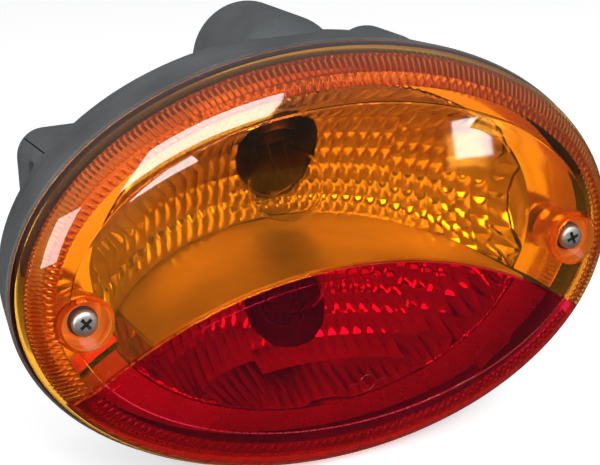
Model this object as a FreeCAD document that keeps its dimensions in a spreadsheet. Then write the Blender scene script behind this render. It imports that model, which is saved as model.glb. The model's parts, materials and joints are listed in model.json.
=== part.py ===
"""Trailer tail light: an oval lamp with an amber indicator window over a red stop and tail window.

Every piece is drawn in the lamp's own directions: x to the right, y up, z ahead towards the lens,
counted from the flat mounting face at the back. FACING then turns that to +Z up, lens towards -Y.
"""
import FreeCAD, Part
import math
import os
import re
import Sketcher

doc = FreeCAD.newDocument("TrailerTailLight")
sheet = doc.addObject("Spreadsheet::Sheet", "Sizes")

SIZES = {
    # casing
    "seam": 60.0,              # lens edge, ahead of the mounting face
    "gasket_thick": 1.2,
    "gasket_inset": 0.6,       # kept back from both edges of the lens wall
    "beyond": 40.0,            # how far cutting tools run out past the seam
    "rim_wide": 100.7,         # half width of the casing at the seam
    "rim_high": 67.4,
    "rim_back": 34.0,          # where the rim stops
    "back_wide": 96.3,
    "back_high": 66.2,
    "rim_wall": 5.0,
    "wall": 2.5,
    "step_line": 5.0,          # fine step round the rim, ahead of its back edge
    "step_deep": 0.5,
    "box_wide": 79.2,          # half width of the mounting box behind the rim
    "box_high": 38.5,
    "box_round": 9.0,
    "foot_round": 2.5,
    "hump_radius": 18.5,       # humps over the two bulb sockets
    "hump_nose": 14.0,         # how far each one slopes down over the rim
    "hump_up": 53.0,
    "hump_down": 48.0,
    "belly_wide": 72.0,        # swell behind the reflectors
    "belly_high": 60.0,
    "belly_deep": 55.5,
    "belly_up": 2.4,
    "belly_front": 57.0,
    "vent_x": 36.0,
    "vent_up": 49.3,
    "vent_radius": 12.5,
    "vent_back": 15.0,
    "slot_wide": 5.5,          # upright recess in each end of the mounting box
    "slot_high": 30.0,
    "slot_deep": 2.0,
    "slot_low": 2.0,
    "slot_ahead": 15.5,
    # lens
    "lens_wide": 100.0,
    "lens_high": 66.7,
    "lens_wall": 2.6,
    "top_share": 0.8,          # share of an inset that also comes off the lens face
    "crease_wide": 86.6,       # the line where the shoulder turns into the front face
    "crease_high": 50.9,
    "crease_rise": 15.3,
    "shoulder_turn": 75.0,     # degrees that the shoulder turns through
    "dome_rise": 4.0,
    "dome_sink": 20.0,         # how far below the crease the dome's ellipsoid has its centre
    "window_radius": 135.0,    # arch between amber and red
    "window_top": 1.7,
    "flange_wide": 3.6,        # plain amber flange left round the red window
    # lens screws
    "screw_x": 81.5,
    "screw_down": 3.5,
    "tower_radius": 5.0,
    "cup_radius": 8.6,
    "cup_floor": 70.0,
    "cup_bore": 7.5,
    "cup_sink": 0.5,           # the cups stop this far under the lens face
    "column_gap": 0.6,
    "column_radius": 7.6,
    "screw_radius": 2.1,
    "screw_slack": 0.3,
    "screw_head": 4.0,
    "screw_head_rise": 2.8,
    "screw_tip": 42.0,
    "screw_round": 1.2,
    "cross_long": 2.2,
    "cross_wide": 0.5,
    "cross_deep": 1.5,
    "washer_radius": 4.5,
    "washer_thick": 1.0,
    "fit_gap": 0.05,           # radial clearance of a running fit
    # reflectors
    "skin": 1.8,
    "bowl_front": 58.0,
    "bowl_wide": 74.0,
    "bowl_high": 50.0,
    "bowl_deep": 40.0,
    "bowl_up": 4.0,
    "plate_inset": 10.0,
    "tower_gap": 0.6,
    "shelf_gap": 0.15,
    "shelf_thick": 1.6,
    "shelf_back": 19.0,
    "shelf_half": 62.0,
    "shelf_low": 40.0,
    "shelf_high": 20.0,
    "shelf_clear": 0.8,        # between the shelf and the inside of the lens
    # bulbs and sockets: distances along the bulb, counted from the reflector's hole
    "tilt": 58.0,
    "upper_hole_up": 29.0,
    "lower_hole_down": 27.0,
    "hole_radius": 14.2,
    "hole_run": 30.0,
    "collar_radius": 15.6,
    "collar_back": 9.0,
    "collar_ahead": 9.0,
    "sleeve_inner": 7.6,
    "sleeve_outer": 8.4,
    "sleeve_end": 24.5,
    "base_radius": 7.5,
    "base_wall": 0.5,
    "base_top": 2.0,
    "base_end": 17.0,
    "insulator_ring": 1.5,     # brass left round the insulator
    "insulator_sink": 0.3,
    "insulator_top": 2.0,
    "tip_end": 18.0,
    "tip_radius": 1.9,
    "tip_apart": 6.0,
    "pin_back": 11.0,
    "pin_radius": 1.0,
    "pin_reach": 9.3,
    "pin_slack": 0.6,
    "pin_play": 0.3,
    "pin_top_play": 0.2,
    "slot_half_turn": 9.0,     # degrees each side of a pin
    "glass_radius": 12.5,
    "glass_wall": 0.7,
    "glass_mid": 14.5,
    "filament_half": 3.0,
    "filament_radius": 0.5,
    "filament_apart": 3.0,
    "leg_apart": 2.8,
    "leg_radius": 0.3,
    "cap_thick": 1.0,
    "terminal_half": 2.0,
    "terminal_thick": 0.8,
    "terminal_out": 4.0,
    "disc_thick": 1.5,
    "spring_wire": 0.4,
    "spring_radius": 5.5,
    "spring_turns": 2.5,
    "push": 2.0,
    "lock_turn": 35.0,
    # fastening and cable
    "stud_x": 70.0,
    "stud_radius": 2.5,
    "stud_neck": 2.9,          # knurled neck inside the boss
    "stud_out": 20.0,
    "stud_head": 4.6,
    "stud_head_thick": 3.5,
    "stud_boss": 8.0,
    "stud_boss_high": 9.0,
    "inlet_x": 45.0,
    "inlet_ahead": 18.0,
    "inlet_hole": 6.0,
    "cable_radius": 3.5,
    "bush_lip": 2.0,
    "bush_below": 4.0,
    "bush_long": 7.0,
    "lead_radius": 0.9,
    "lead_bend": 2.0,
}
for row, (alias, number) in enumerate(SIZES.items(), start=1):
    sheet.set(f"A{row}", alias)
    sheet.set(f"B{row}", str(number))
    sheet.setAlias(f"B{row}", alias)
doc.recompute()

X_AXIS = FreeCAD.Vector(1, 0, 0)
FACING = FreeCAD.Placement(FreeCAD.Vector(), FreeCAD.Rotation(X_AXIS, 90))
nodes = []


def size(alias):
    """The number in a cell of the sheet."""
    return float(sheet.get(alias))


def worked_out(expression):
    """The value of an expression in cell names, through a spare cell."""
    sheet.set("D1", "=" + expression)
    sheet.recompute()
    return float(sheet.get("D1"))


def tied(expression):
    """An expression in bare cell names, as the document spells it."""
    return re.sub(r"[a-z_]+[a-z]", lambda m: "Sizes." + m[0] if m[0] in SIZES else m[0], expression)


def bind(thing, **expressions):
    for name, expression in expressions.items():
        thing.setExpression(name, tied(expression))


def place(thing, x="0", up="0", ahead="0", turn=None):
    if turn:
        thing.Placement = FreeCAD.Placement(FreeCAD.Vector(), turn)
    for name, expression in (("x", x), ("y", up), ("z", ahead)):
        thing.setExpression("Placement.Base." + name, tied(expression))


def solid(kind, x="0", up="0", ahead="0", turn=None, where=None, **expressions):
    """A Part primitive sized from the sheet, and placed by the sheet or at a placement."""
    thing = doc.addObject("Part::" + kind, kind)
    bind(thing, **expressions)
    if where:
        thing.Placement = where
    else:
        place(thing, x, up, ahead, turn)
    return thing


def rod(radius, start, end, x="0", up="0", **more):
    """A round bar that runs ahead from start to end."""
    return solid("Cylinder", x, up, start, Radius=radius, Height=f"({end}) - ({start})", **more)


def block(half_x, low, high, start, end, x="0"):
    return solid("Box", f"{x} - ({half_x})", low, start, Length=f"2 * ({half_x})",
                 Width=f"({high}) - ({low})", Height=f"({end}) - ({start})")


def ellipsoid(wide, high, deep, up, ahead):
    return solid("Ellipsoid", "0", up, ahead, Radius1=deep, Radius2=wide, Radius3=high)


def oval(wide, high, ahead):
    return solid("Ellipse", "0", "0", ahead, MajorRadius=wide, MinorRadius=high)


def oval_plate(wide, high, start, end):
    plate = doc.addObject("Part::Extrusion", "OvalPlate")
    plate.Base = oval(wide, high, start)
    plate.DirMode = "Custom"
    plate.Dir = FreeCAD.Vector(0, 0, 1)
    plate.Solid = True
    bind(plate, LengthFwd=f"({end}) - ({start})")
    return plate


def loft(sections, ruled=False):
    thing = doc.addObject("Part::Loft", "Loft")
    thing.Sections = sections
    thing.Solid = True
    thing.Ruled = ruled
    return thing


def fuse(*things):
    thing = doc.addObject("Part::MultiFuse", "Fuse")
    thing.Shapes = list(things)
    return thing


def joined(base, tool):
    thing = doc.addObject("Part::Fuse", "Joined")
    thing.Base = base
    thing.Tool = tool
    return thing


def common(*things):
    thing = doc.addObject("Part::MultiCommon", "Common")
    thing.Shapes = list(things)
    return thing


def cut(base, *tools):
    thing = doc.addObject("Part::Cut", "Cut")
    thing.Base = base
    thing.Tool = tools[0] if len(tools) == 1 else fuse(*tools)
    return thing


def rounded(base, radius, chosen):
    """Fillets the edges of base for which chosen(edge) holds."""
    doc.recompute()
    thing = doc.addObject("Part::Fillet", "Fillet")
    thing.Base = base
    numbers = [i for i, edge in enumerate(base.Shape.Edges, start=1) if chosen(edge)]
    thing.Edges = [(i, size(radius), size(radius)) for i in numbers]
    return thing


def node(thing, label, placement=FACING):
    """Names a finished sub-part and turns it to face the right way."""
    thing.Label = label
    doc.recompute([thing])
    own = thing.Placement
    for name in ("x", "y", "z"):
        thing.setExpression("Placement.Base." + name, None)
    thing.Placement = placement.multiply(own)
    nodes.append(thing)
    return thing


def on_bulb_axis(hole_up, hole_ahead, tilt):
    """Placement of a piece whose own z axis is the bulb's, pointing at the glass."""
    there = FreeCAD.Placement(FreeCAD.Vector(0, hole_up, hole_ahead), FreeCAD.Rotation(X_AXIS, tilt))
    return FACING.multiply(there)


def origin_plane(body, role):
    return next(f for f in body.Origin.OriginFeatures if f.Role == role)


def turned(label, outline, placement=FACING):
    """A PartDesign body turned about its own z axis, from (radius, height) corners."""
    body = doc.addObject("PartDesign::Body", label)
    sketch = body.newObject("Sketcher::SketchObject", label + "_outline")
    sketch.AttachmentSupport = (origin_plane(body, "XZ_Plane"), "")
    sketch.MapMode = "FlatFace"
    draw_outline(sketch, outline)
    turn = body.newObject("PartDesign::Revolution", label + "_turned")
    turn.Profile = sketch
    turn.ReferenceAxis = (sketch, ["V_Axis"])
    turn.Angle = 360
    body.Tip = turn
    body.Label = label
    body.Placement = placement
    nodes.append(body)
    return body


def draw_outline(sketch, outline):
    """A closed outline of straight lines whose corners are tied to the sheet."""
    corners = [FreeCAD.Vector(worked_out(a), worked_out(b), 0) for a, b in outline]
    count = len(corners)
    for i in range(count):
        sketch.addGeometry(Part.LineSegment(corners[i], corners[(i + 1) % count]))
    for i in range(count):
        sketch.addConstraint(Sketcher.Constraint("Coincident", i, 2, (i + 1) % count, 1))
    for i, (across, along) in enumerate(outline):
        for kind, expression, axis in (("DistanceX", across, -2), ("DistanceY", along, -1)):
            if expression == "0":
                sketch.addConstraint(Sketcher.Constraint("PointOnObject", i, 1, axis))
                continue
            rule = Sketcher.Constraint(kind, -1, 1, i, 1, worked_out(expression))
            index = sketch.addConstraint(rule)
            sketch.setExpression(f"Constraints[{index}]", tied(expression))


# ---------------------------------------------------------------- casing

def across_at(ahead):
    """Tests whether an edge lies wholly in the plane at that distance ahead."""
    return lambda edge: all(abs(v.Z - ahead) < 0.01 for v in edge.Vertexes)


def rear_outline(inset):
    """The mounting box and the two socket humps, inset by a wall."""
    deep = f"rim_back + 2 * {inset}"
    low = inset
    box = block(f"box_wide - {inset}", f"-box_high + {inset}", f"box_high - {inset}", low, deep)
    across = f"hump_radius - {inset}"
    pieces = [
        block(across, "0", "hump_up", low, deep),
        block(across, "-hump_down", "0", low, deep),
    ]
    pieces += [rod(across, low, f"rim_back - {inset}", up=up) for up in ("hump_up", "-hump_down")]
    return box, pieces


def housing():
    front = "seam - gasket_thick"
    rim = loft([oval("back_wide", "back_high", "rim_back"), oval("rim_wide", "rim_high", front)], True)
    line = "rim_back + step_line"
    share = f"step_line / ({front} - rim_back)"
    groove = cut(oval_plate("rim_wide + wall", "rim_high + wall", line, line + " + step_deep"),
                 oval_plate(f"back_wide + (rim_wide - back_wide) * {share} - step_deep",
                            f"back_high + (rim_high - back_high) * {share} - step_deep",
                            line + " - 1", line + " + 2"))
    rim = cut(rim, groove)
    box, humps = rear_outline("0")
    box = rounded(box, "box_round", lambda edge: abs(edge.Vertexes[0].Z - edge.Vertexes[-1].Z) > 1)
    rear = rounded(fuse(box, *humps), "foot_round", across_at(0.0))
    belly = common(ellipsoid("belly_wide", "belly_high", "belly_deep", "belly_up", "belly_front"),
                   block("rim_wide", "-rim_high", "rim_high", "0", "rim_back + 2"))
    vent = rod("vent_radius", "vent_back", "rim_back + 2", "vent_x", "vent_up")
    vent = rounded(vent, "foot_round", across_at(size("vent_back")))
    noses = [ellipsoid("hump_radius", "hump_radius", "hump_nose", up, "rim_back")
             for up in ("hump_up", "-hump_down")]
    outside = fuse(rim, rear, belly, vent, *noses)

    inside_rim = loft([oval("back_wide - rim_wall", "back_high - rim_wall", "rim_back + wall"),
                       oval("rim_wide - rim_wall", "rim_high - rim_wall", front + " + 0.01")], True)
    inside_box, inside_humps = rear_outline("wall")
    inside_belly = common(ellipsoid("belly_wide - wall", "belly_high - wall", "belly_deep - wall",
                                    "belly_up", "belly_front"),
                          block("rim_wide", "-rim_high", "rim_high", "0", "belly_front - wall"))
    inside_vent = rod("vent_radius - wall", "vent_back + wall", "rim_back + 2 * wall",
                      "vent_x", "vent_up")
    shell = cut(outside, inside_rim, inside_box, *inside_humps, inside_belly, inside_vent)

    posts = []
    bores = []
    for side in ("", "-"):
        posts.append(rod("tower_radius", "rim_back + 1", "seam", side + "screw_x", "-screw_down"))
        bores.append(rod("screw_radius + fit_gap", "screw_tip - 4", "seam + 1", side + "screw_x",
                         "-screw_down"))
        posts.append(rod("stud_boss", "wall - 1", "stud_boss_high", side + "stud_x"))
        bores.append(rod("stud_neck + fit_gap", "-1", "stud_boss_high + 1", side + "stud_x"))
        bores.append(block("slot_deep", "slot_low", "slot_low + slot_high", "slot_ahead",
                           "slot_ahead + slot_wide", side + "box_wide"))
    downwards = FreeCAD.Rotation(X_AXIS, 90)
    bores.append(solid("Cylinder", "inlet_x", "-box_high + 2 * wall", "inlet_ahead", downwards,
                       Radius="inlet_hole", Height="3 * wall"))
    node(cut(fuse(shell, *posts), *bores), "housing")


def gasket():
    back = "seam - gasket_thick"
    ring = cut(oval_plate("lens_wide - gasket_inset", "lens_high - gasket_inset", back, "seam"),
               oval_plate("lens_wide - rim_wall + gasket_inset", "lens_high - rim_wall + gasket_inset",
                          back + " - 1", "seam + 1"))
    node(ring, "lens_gasket")


# ---------------------------------------------------------------- lens

def lens_volume(inset):
    """Everything under the lens face: four ovals round the shoulder, then a low dome."""
    inset = f"({inset})"
    steps = 3
    rings = []
    base = "seam" if inset == "(0)" else "seam - 1"
    for i in range(steps + 1):
        turn = f"(shoulder_turn * {i} / {steps}) * 1deg"
        full = "shoulder_turn * 1deg"
        inwards = f"((1 - cos({turn})) / (1 - cos({full})))"
        rise = f"(sin({turn}) / sin({full}))"
        wide = f"lens_wide - {inset} - (lens_wide - crease_wide) * {inwards}"
        high = f"lens_high - {inset} - (lens_high - crease_high) * {inwards}"
        ahead = f"seam + (crease_rise - {inset} * top_share) * {rise}"
        rings.append(oval(wide, high, base if i == 0 else ahead))
    swell = "sqrt(1 - (dome_sink / (dome_sink + dome_rise)) ^ 2)"
    top = f"seam + crease_rise - {inset} * top_share"
    dome = ellipsoid(f"(crease_wide - {inset}) / {swell}", f"(crease_high - {inset}) / {swell}",
                     "dome_sink + dome_rise", "0", f"{top} - dome_sink")
    cap = common(dome, block("lens_wide", "-lens_wide", "lens_wide", top, f"{top} + 2 * dome_rise"))
    return fuse(loft(rings), cap)


def window_region(inset="0"):
    """The space of the red window: under the arch and inside the plain flange."""
    arch = rod(f"window_radius - {inset}", "0", "seam + beyond", up="window_top - window_radius")
    inside = oval_plate(f"lens_wide - flange_wide - {inset}", f"lens_high - flange_wide - {inset}",
                        "0", "seam + beyond")
    return common(arch, inside)


def lens_cups():
    """The two screw columns, widening into open cups at the lens face."""
    pieces = []
    for side in ("", "-"):
        spot = (side + "screw_x", "-screw_down")
        pieces.append(rod("cup_radius", "cup_floor - lens_wall", "seam + beyond", *spot))
        pieces.append(rod("column_radius", "seam + column_gap", "cup_floor", *spot))
    return fuse(*pieces)


def lens_bores():
    pieces = []
    for side in ("", "-"):
        spot = (side + "screw_x", "-screw_down")
        pieces.append(rod("cup_bore", "cup_floor", "seam + beyond", *spot))
        pieces.append(rod("screw_radius + screw_slack", "seam", "cup_floor + 1", *spot))
    return fuse(*pieces)


def lens_shell():
    return cut(lens_volume("0"), lens_volume("lens_wall"))


def lens():
    whole = joined(lens_shell(), common(lens_cups(), lens_volume("cup_sink")))
    node(cut(cut(whole, lens_bores()), window_region()), "lens_amber")
    node(common(lens_shell(), window_region()), "lens_red")


def lens_screws():
    for side, word in (("", "right"), ("-", "left")):
        screw = fuse(
            rod("screw_radius", "screw_tip", "cup_floor + washer_thick", side + "screw_x", "-screw_down"),
            rod("screw_head", "cup_floor + washer_thick",
                "cup_floor + washer_thick + screw_head_rise", side + "screw_x", "-screw_down"))
        screw = rounded(screw, "screw_round", across_at(
            size("cup_floor") + size("washer_thick") + size("screw_head_rise")))
        slots = []
        for half_x, half_up in (("cross_long", "cross_wide"), ("cross_wide", "cross_long")):
            top = "cup_floor + washer_thick + screw_head_rise"
            slots.append(block(half_x, f"-screw_down - {half_up}", f"-screw_down + {half_up}",
                               top + " - cross_deep", top + " + 1", side + "screw_x"))
        node(cut(screw, *slots), "lens_screw_" + word)
        washer = cut(
            rod("washer_radius", "cup_floor", "cup_floor + washer_thick", side + "screw_x", "-screw_down"),
            rod("screw_radius + fit_gap", "cup_floor - 1", "cup_floor + washer_thick + 1",
                side + "screw_x", "-screw_down"))
        node(washer, "screw_washer_" + word)


# ---------------------------------------------------------------- reflectors

def bowl(up, grow):
    return ellipsoid(f"bowl_wide + {grow}", f"bowl_high + {grow}", f"bowl_deep + {grow}", up, "bowl_front")


def hole_place(up, centre_up):
    """Where the bulb's axis meets a bowl, as a distance ahead of the mounting face."""
    fall = (up - centre_up) / size("bowl_high")
    return size("bowl_front") - size("bowl_deep") * math.sqrt(1 - fall * fall)


def reflector(label, bowl_up, hole_up, tilt, space):
    """A plated bowl with a flat plate round it, a bulb hole and a collar for the socket."""
    ahead = hole_place(hole_up, worked_out(bowl_up))
    axis = FreeCAD.Placement(FreeCAD.Vector(0, hole_up, ahead), FreeCAD.Rotation(X_AXIS, tilt))

    def along(start):
        return axis.multiply(FreeCAD.Placement(FreeCAD.Vector(0, 0, start), FreeCAD.Rotation()))

    collar = solid("Cylinder", where=along(-size("collar_back")), Radius="collar_radius",
                   Height="collar_back + collar_ahead")
    hole = solid("Cylinder", where=along(-size("hole_run")), Radius="hole_radius", Height="2 * hole_run")
    back_half = block("rim_wide", "-rim_high", "rim_high", "0", "bowl_front - skin / 2")
    behind = common(fuse(bowl(bowl_up, "skin"), collar), back_half)
    plate = oval_plate("rim_wide - plate_inset", "rim_high - plate_inset", "bowl_front - skin", "bowl_front")
    towers = [rod("tower_radius + tower_gap", "0", "seam + 5", side + "screw_x", "-screw_down")
              for side in ("", "-")]
    whole = cut(fuse(behind, plate), bowl(bowl_up, "0"), hole, *towers)
    node(common(whole, space), label)


def reflectors():
    half = "(shelf_thick / 2 + shelf_gap)"
    arch = rod(f"window_radius + {half}", "0", "seam + beyond", up="window_top - window_radius")
    above = cut(block("rim_wide", "-rim_high", "rim_high", "0", "seam + beyond / 2"), arch)
    below = rod(f"window_radius - {half}", "0", "seam + beyond", up="window_top - window_radius")
    reflector("reflector_indicator", "bowl_up", size("upper_hole_up"), size("tilt"), above)
    reflector("reflector_stop_tail", "0", -size("lower_hole_down"), -size("tilt"), below)


def divider():
    """Arched shelf that keeps the amber and the red chamber's light apart."""
    half = "shelf_thick / 2"
    middle = "window_top - window_radius"
    arch = cut(rod(f"window_radius + {half}", "shelf_back", "seam + beyond / 2", up=middle),
               rod(f"window_radius - {half}", "0", "seam + beyond", up=middle))
    reach = ("shelf_half", "-shelf_low", "shelf_high", "shelf_back")
    shelf = common(arch, block(*reach, "seam + beyond / 2"), lens_volume("lens_wall + shelf_clear"))
    back = common(arch, block(*reach, "seam - shelf_clear"))
    node(fuse(shelf, back), "chamber_divider")


# ---------------------------------------------------------------- bulbs and their sockets

def socket(name, place_of):
    """Brass sleeve with two bayonet slots, sprung contact disc, end cap and terminal."""
    sleeve = fuse(
        cut(rod("sleeve_outer", "-sleeve_end", "-collar_back - 1"),
            rod("sleeve_inner", "-sleeve_end - 1", "0")),
        cut(rod("collar_radius", "-collar_back - 1", "-collar_back"),
            rod("sleeve_inner", "-collar_back - 2", "0")))
    level = "-pin_back - pin_radius - push - pin_play"
    top = "-pin_back + pin_radius + pin_top_play"
    axis = FreeCAD.Vector(0, 0, 1)
    slots = []
    for half_turn in (0, 180):
        start = half_turn - size("slot_half_turn")
        locked = FreeCAD.Rotation(axis, start)
        slots.append(solid("Cylinder", ahead=level, turn=locked, Radius="pin_reach + pin_slack",
                           Height=f"{top} - ({level})", Angle="lock_turn + 2 * slot_half_turn"))
        way_in = FreeCAD.Rotation(axis, start + size("lock_turn"))
        slots.append(solid("Cylinder", ahead=level, turn=way_in, Radius="pin_reach + pin_slack",
                           Height=f"1 - ({level})", Angle="2 * slot_half_turn"))
    node(cut(sleeve, *slots), name + "_socket_sleeve", place_of)
    thick = "terminal_thick / 2"
    cap = cut(rod("sleeve_inner - fit_gap / 2", "-sleeve_end", "-sleeve_end + cap_thick"),
              block("terminal_half + 2 * fit_gap", f"-{thick} - fit_gap", f"{thick} + fit_gap",
                    "-sleeve_end - 1", "-sleeve_end + 2"))
    node(cap, name + "_socket_cap", place_of)
    tag = block("terminal_half", f"-{thick}", thick, "-sleeve_end - terminal_out", "-sleeve_end + cap_thick")
    node(tag, name + "_terminal", place_of)
    disc = rod("sleeve_inner - fit_gap", "-tip_end - disc_thick", "-tip_end")
    node(disc, name + "_contact_disc", place_of)
    node(spring("-sleeve_end + cap_thick", "-tip_end - disc_thick"), name + "_contact_spring", place_of)


def spring(start, end):
    """A coil of round wire that fills the space behind the contact disc."""
    wire = size("spring_wire")
    low = worked_out(start) + wire
    tall = worked_out(end) - wire - low
    coil = Part.makeHelix(tall / size("spring_turns"), tall, size("spring_radius"))
    coil.translate(FreeCAD.Vector(0, 0, low))
    first = coil.Edges[0]
    ring = Part.Wire(Part.makeCircle(wire, first.valueAt(first.FirstParameter),
                                     first.tangentAt(first.FirstParameter)))
    thing = doc.addObject("Part::Feature", "Spring")
    thing.Shape = Part.Wire(coil.Edges).makePipeShell([ring], True, True)
    return thing


def bulb(name, filaments, place_of):
    """Glass, brass base with its two pins, insulator, solder tips and filaments."""
    across = FreeCAD.Rotation(FreeCAD.Vector(0, 1, 0), 90)
    pins = solid("Cylinder", "-pin_reach", "0", "-pin_back", across,
                 Radius="pin_radius", Height="2 * pin_reach")
    base = fuse(rod("base_radius", "-base_end", "-base_top"), pins)
    low, high = "-base_end + insulator_sink", "-base_end + insulator_top"
    edge = "base_radius - insulator_ring"
    inner = rod("base_radius - base_wall", high, "0")
    well = rod(edge, "-base_end - 1", "0")
    node(cut(base, inner, well), name + "_base", place_of)
    turned(name + "_insulator", [("0", low), (edge, low), (edge, high), ("0", high)], place_of)
    offsets = ("0",) if filaments == 1 else ("-tip_apart / 2", "tip_apart / 2")
    tips = [rod("tip_radius", "-tip_end", low, x) for x in offsets]
    node(tips[0] if len(tips) == 1 else fuse(*tips), name + "_tips", place_of)
    node(glass(), name + "_glass", place_of)
    wires = []
    for i in range(filaments):
        up = f"filament_apart * {i - (filaments - 1) / 2}"
        ahead = f"glass_mid + {i}"
        bar = solid("Cylinder", "-filament_half", up, ahead, across, Radius="filament_radius",
                    Height="2 * filament_half")
        legs = [rod("leg_radius", high, ahead, x, up) for x in ("-leg_apart", "leg_apart")]
        wires += [bar, *legs]
    node(fuse(*wires), name + "_filament", place_of)


def glass():
    """A thin closed globe on a neck."""
    def envelope(inset):
        globe = solid("Sphere", ahead="glass_mid", Radius=f"glass_radius - {inset}")
        neck = rod(f"base_radius - base_wall - fit_gap - {inset}", "-base_top - 6", "glass_mid")
        return fuse(globe, neck)

    return cut(envelope("0"), envelope("glass_wall"), rod("base_radius", "-beyond", "-base_top - 5"))


def lamps():
    for name, up, centre, side, filaments in (
            ("indicator", "upper_hole_up", "bowl_up", 1, 1),
            ("stop_tail", "-lower_hole_down", "0", -1, 2)):
        hole_up = worked_out(up)
        ahead = hole_place(hole_up, worked_out(centre))
        place_of = on_bulb_axis(hole_up, ahead, side * size("tilt"))
        socket(name, place_of)
        bulb(name, filaments, place_of)


# ---------------------------------------------------------------- fastening and cable

def studs():
    """Two necked studs whose heads stand on bosses inside the casing."""
    both = []
    for side in ("", "-"):
        both.append(rod("stud_radius", "-stud_out", "0", side + "stud_x"))
        both.append(rod("stud_neck", "0", "stud_boss_high", side + "stud_x"))
        both.append(solid("Prism", side + "stud_x", "0", "stud_boss_high", Polygon="6",
                          Circumradius="stud_head", Height="stud_head_thick"))
    node(fuse(*both), "mounting_studs")


def grommet():
    """Rubber bush that snaps into the underside and grips the cable."""
    lip, end = "inlet_hole + bush_lip", "bush_long + wall"
    rubber = turned("cable_grommet", [
        ("cable_radius", "0"), ("inlet_hole + bush_lip / 2", "0"), (lip, "bush_below / 2"),
        (lip, "bush_below"), ("inlet_hole", "bush_below"), ("inlet_hole", "bush_below + wall"),
        (lip, "bush_below + wall"), ("inlet_hole", end), ("cable_radius", end)])
    rubber.Placement = FreeCAD.Placement(
        FreeCAD.Vector(size("inlet_x"), -size("inlet_ahead"), -size("box_high") - size("bush_below")),
        FreeCAD.Rotation())


def rounded_path(corners, radius):
    """Straight runs joined by tangent arcs, through a list of corners."""
    edges = []
    start = corners[0]
    for before, corner, after in zip(corners, corners[1:], corners[2:]):
        back = (before - corner).normalize()
        on = (after - corner).normalize()
        half = back.getAngle(on) / 2
        reach = radius / math.tan(half)
        middle = (back + on).normalize() * (radius / math.sin(half) - radius)
        first = corner + back * reach
        last = corner + on * reach
        edges.append(Part.LineSegment(start, first).toShape())
        edges.append(Part.Arc(first, corner + middle, last).toShape())
        start = last
    edges.append(Part.LineSegment(start, corners[-1]).toShape())
    return Part.Wire(edges)


def lead(name, corners):
    """One insulated wire from a terminal to the cable inlet."""
    path = rounded_path([FreeCAD.Vector(*corner) for corner in corners], size("lead_bend"))
    first = path.Edges[0]
    ring = Part.Wire(Part.makeCircle(size("lead_radius"), first.valueAt(first.FirstParameter),
                                     first.tangentAt(first.FirstParameter)))
    thing = doc.addObject("Part::Feature", name)
    thing.Shape = path.makePipeShell([ring], True, True)
    node(thing, name)


def terminal_tail(up, centre, side):
    """The free end of a socket's terminal, up and ahead."""
    slope = math.radians(size("tilt"))
    along = size("sleeve_end") + size("terminal_out")
    hole_up = worked_out(up)
    return (hole_up + side * along * math.sin(slope),
            hole_place(hole_up, worked_out(centre)) - along * math.cos(slope))


def leads():
    """Indicator, stop, tail and earth wires, side by side behind the reflectors."""
    inlet_x, inlet_ahead = size("inlet_x"), size("inlet_ahead")
    inlet_up = -size("box_high") - size("bush_below") + size("bush_long") + size("wall")
    top_up, top_ahead = terminal_tail("upper_hole_up", "bowl_up", 1)
    low_up, low_ahead = terminal_tail("-lower_hole_down", "0", -1)
    lead("lead_indicator", [
        (0, top_up, top_ahead), (0, top_up + 3, top_ahead - 2), (11.5, top_up + 1, 5.5),
        (11.5, 28, 5), (inlet_x + 1.2, 4, 7), (inlet_x + 1.2, -18, inlet_ahead + 1.2),
        (inlet_x + 1.2, inlet_up, inlet_ahead + 1.2)])
    lead("lead_stop", [
        (0, low_up, low_ahead), (0, low_up - 3, low_ahead - 2), (11.5, low_up - 1, 5.5),
        (11.5, -28, 5), (inlet_x - 1.2, -14, 7), (inlet_x - 1.2, -22, inlet_ahead + 1.2),
        (inlet_x - 1.2, inlet_up, inlet_ahead + 1.2)])


def export():
    doc.recompute()
    for thing in doc.Objects:
        if "Invalid" in thing.State or "Error" in thing.State:
            raise RuntimeError(f"{thing.Label} ({thing.Name}) failed: {thing.State}")
    os.makedirs("parts", exist_ok=True)
    for thing in nodes:
        shape = thing.Shape
        if shape.isNull() or not shape.isValid() or not shape.Solids:
            raise RuntimeError(thing.Label + " is not a valid solid")
        shape.exportStep(f"parts/{thing.Label}.step")
        box = shape.BoundBox
        print(f"{thing.Label:28s} {len(shape.Solids)} {shape.Volume:10.1f}",
              *(round(v, 1) for v in (box.XMin, box.XMax, box.YMin, box.YMax, box.ZMin, box.ZMax)))


housing()
gasket()
lens()
lens_screws()
reflectors()
divider()
lamps()
studs()
grommet()
leads()
export()
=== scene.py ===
"""Looks of the oval trailer tail light, built round its CAD frame. Metres; the lens faces -Y."""
import json
import math

import bmesh
import bpy
from mathutils import Matrix, Vector


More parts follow.
